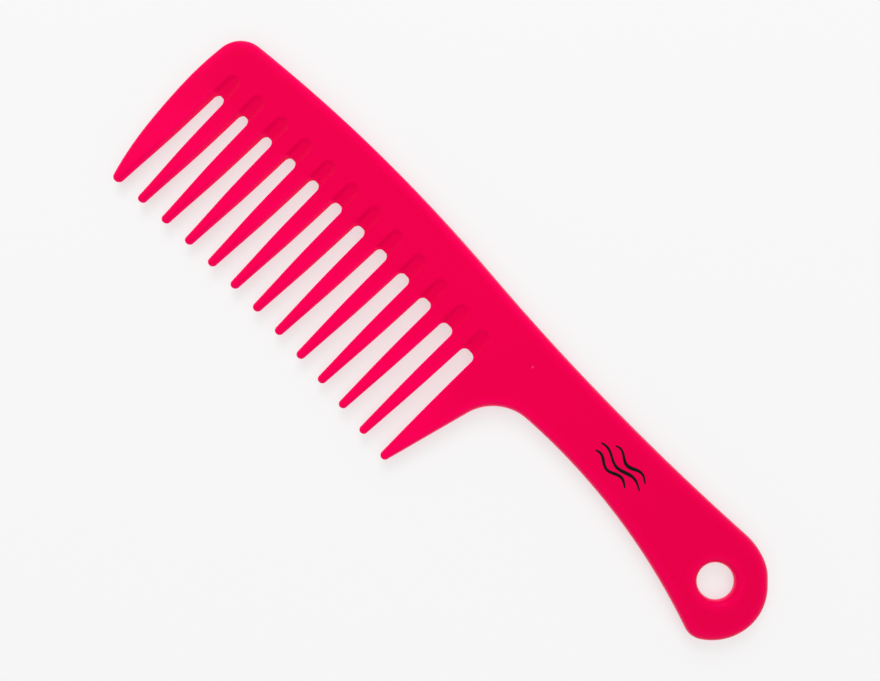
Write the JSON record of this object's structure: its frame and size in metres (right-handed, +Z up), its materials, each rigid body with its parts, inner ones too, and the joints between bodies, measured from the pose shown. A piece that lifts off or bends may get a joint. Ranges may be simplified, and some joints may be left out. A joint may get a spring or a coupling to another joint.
{
  "type": "wide tooth comb",
  "caption": "Flat handled comb with widely spaced tapered teeth, scooped roots, a guard tooth at each end and a hanging hole in the handle.",
  "frame": {"origin": "centre of the box's underside, with the comb lying flat", "axes": "+X from the head to the handle end, +Y from the tooth tips to the back, +Z up through the thickness"},
  "size_m": [0.2294, 0.0624, 0.005],
  "materials": {
    "body_plastic": "smooth satin gloss, hot pink, moulded through",
    "ink": "thin pad-printed black ink"
  },
  "bodies": {
    "root": {"handle": "body_plastic", "spine": "body_plastic", "front_guard_tooth": "body_plastic", "tooth_02": "body_plastic", "tooth_03": "body_plastic", "tooth_04": "body_plastic", "tooth_05": "body_plastic", "tooth_06": "body_plastic", "tooth_07": "body_plastic", "tooth_08": "body_plastic", "tooth_09": "body_plastic", "tooth_10": "body_plastic", "tooth_11": "body_plastic", "tooth_12": "body_plastic", "rear_guard_tooth": "body_plastic", "printed_mark": "ink"}
  },
  "joints": []
}
